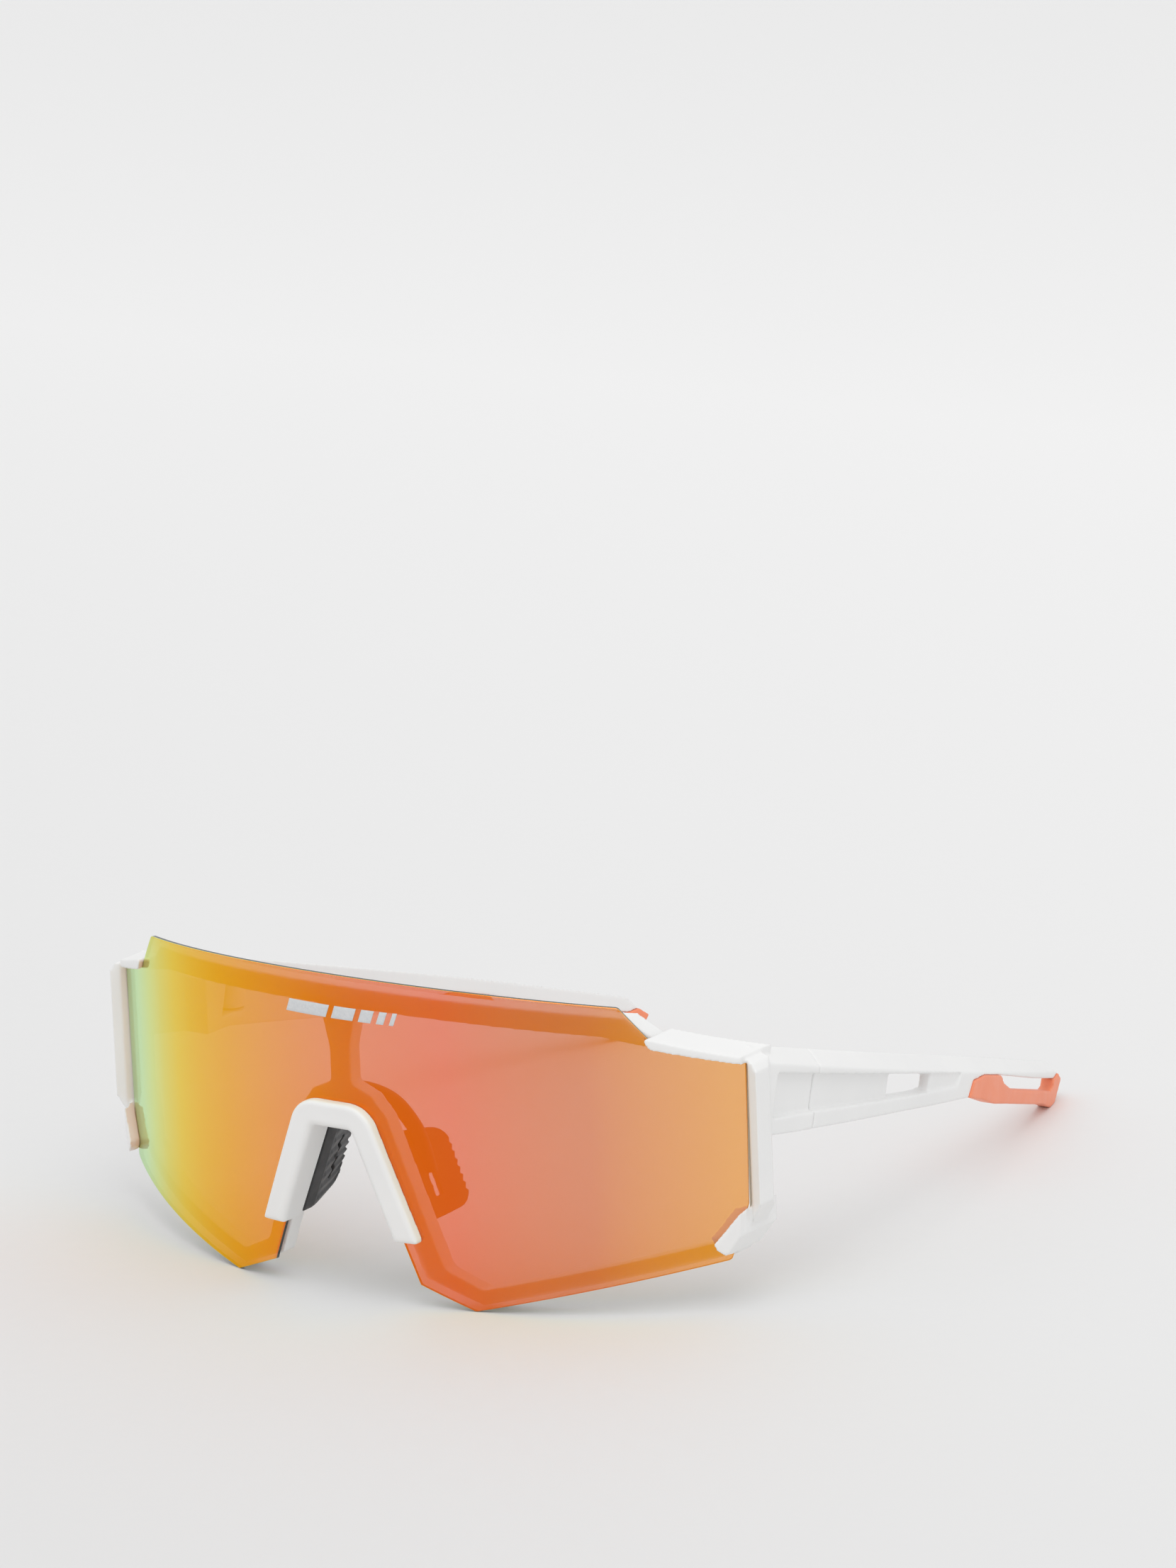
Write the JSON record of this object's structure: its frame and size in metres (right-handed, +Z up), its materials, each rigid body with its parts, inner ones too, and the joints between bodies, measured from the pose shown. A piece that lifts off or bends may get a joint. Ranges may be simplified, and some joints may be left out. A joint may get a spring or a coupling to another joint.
{
  "type": "wraparound sport sunglasses",
  "caption": "Wraparound sport sunglasses with a one-piece mirrored shield lens, a white half-hidden frame, a rubber nose pad and folding temples with rubber ear tips.",
  "frame": {"origin": "under the middle of the glasses' box, on the surface that they stand on", "axes": "+Z up, +Y from the lens to the wearer's ears, +X to the right hand of someone facing the glasses"},
  "size_m": [0.1416, 0.1628, 0.0585],
  "materials": {
    "mirror_lens": "tinted polycarbonate with an orange mirror coating",
    "white_plastic": "satin moulded",
    "black_rubber": "matt",
    "coral_rubber": "matt",
    "screw_steel": "plain"
  },
  "bodies": {
    "front": {"lens": "mirror_lens", "front_frame": "white_plastic", "end_piece_left": "white_plastic", "end_piece_right": "white_plastic", "nose_bridge": "white_plastic", "nose_pad": "black_rubber", "hinge_screw_left": "screw_steel", "hinge_screw_right": "screw_steel", "hinge_nut_left": "screw_steel", "hinge_nut_right": "screw_steel", "hinge_washers_left": "screw_steel", "hinge_washers_right": "screw_steel"},
    "temple_left": {"temple_left": "white_plastic", "ear_tip_left": "coral_rubber"},
    "temple_right": {"temple_right": "white_plastic", "ear_tip_right": "coral_rubber"}
  },
  "joints": [
    {"name": "temple_left_fold", "type": "hinge", "parent": "front", "child": "temple_left", "pos_m": [-0.063, -0.02686, 0.0337], "axis": [0, 0, -1], "range_deg": [0, 90]},
    {"name": "temple_right_fold", "type": "hinge", "parent": "front", "child": "temple_right", "pos_m": [0.063, -0.02686, 0.0337], "axis": [0, 0, 1], "range_deg": [0, 75]}
  ]
}
